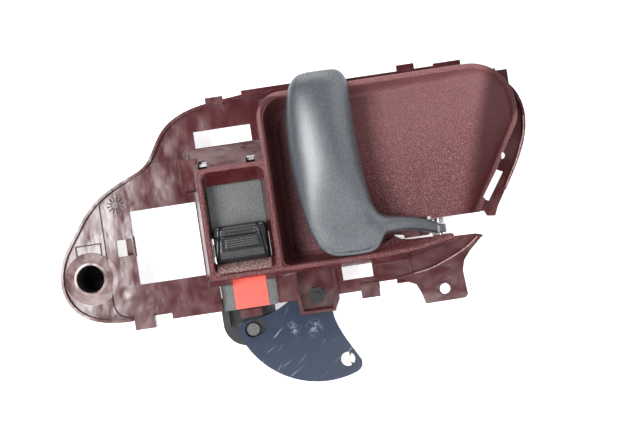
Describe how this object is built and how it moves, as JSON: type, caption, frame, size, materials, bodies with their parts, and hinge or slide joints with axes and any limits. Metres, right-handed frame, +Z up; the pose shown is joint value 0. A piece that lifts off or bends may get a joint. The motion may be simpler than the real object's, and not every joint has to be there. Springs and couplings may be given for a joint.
{
  "type": "car door handle",
  "caption": "Inner car door handle: moulded bezel with finger dish, hinged pull handle, and a lock slider that turns a bellcrank.",
  "frame": {"origin": "on the axis of the main mounting boss, in the front face of the flange", "axes": "+X along the bezel towards the handle hinge, +Z up on the door, -Y towards the cabin"},
  "size_m": [0.3014, 0.0531, 0.1918],
  "materials": {
    "bezel_plastic": "grained maroon acetal on the visible faces, smooth on the flange",
    "handle_plastic": "blue-grey, fine grain, satin",
    "pin_steel": "plain steel pin",
    "spring_steel": "bright spring steel",
    "pad_rubber": "soft black rubber",
    "clip_nylon": "natural white nylon",
    "slider_plastic": "grey, speckled grain",
    "flag_plastic": "signal red, fine grain",
    "knob_plastic": "near black, satin",
    "arm_plastic": "black, satin",
    "stud_zinc": "dull grey zinc",
    "crank_plastic": "navy blue, scuffed",
    "bush_nylon": "natural nylon",
    "cover_plastic": "black, moulded",
    "screw_steel": "zinc plated"
  },
  "bodies": {
    "root": {"bezel_housing": "bezel_plastic", "hinge_pin": "pin_steel", "pin_push_nut": "spring_steel", "handle_return_spring": "spring_steel", "handle_bump_pads": "pad_rubber", "pivot_post": "arm_plastic", "post_retainer": "spring_steel", "slider_rear_cover": "cover_plastic", "cover_screws": "screw_steel", "detent_spring": "spring_steel", "panel_spring_clips": "spring_steel"},
    "pull_lever": {"pull_handle": "handle_plastic", "latch_rod_clip": "clip_nylon"},
    "lock_slider": {"lock_slider_plate": "slider_plastic", "lock_flag": "flag_plastic", "lock_knob": "knob_plastic", "lock_slider_arm": "arm_plastic", "drive_stud": "stud_zinc", "stud_washer": "spring_steel"},
    "lock_crank": {"lock_bellcrank": "crank_plastic", "bellcrank_bush": "bush_nylon", "lock_rod_clip": "clip_nylon"}
  },
  "joints": [
    {"name": "handle_pull", "type": "hinge", "parent": "root", "child": "pull_lever", "pos_m": [0.2206, 0.0055, 0.0013], "axis": [0, 0, 1], "range_deg": [0, 30], "stiffness_Nm_per_rad": 0.25, "springref_deg": -28.65},
    {"name": "lock_slide", "type": "slide", "parent": "root", "child": "lock_slider", "axis": [0, 0, 1], "range_m": [0, 0.025]},
    {"name": "crank_turn", "type": "hinge", "parent": "root", "child": "lock_crank", "pos_m": [0.1376, 0.0094, -0.031], "axis": [0, 1, 0], "range_deg": [0, 32.4]}
  ],
  "couplings": [
    {"joint": "crank_turn", "follows": "lock_slide", "rad_per_m": 22.615}
  ]
}
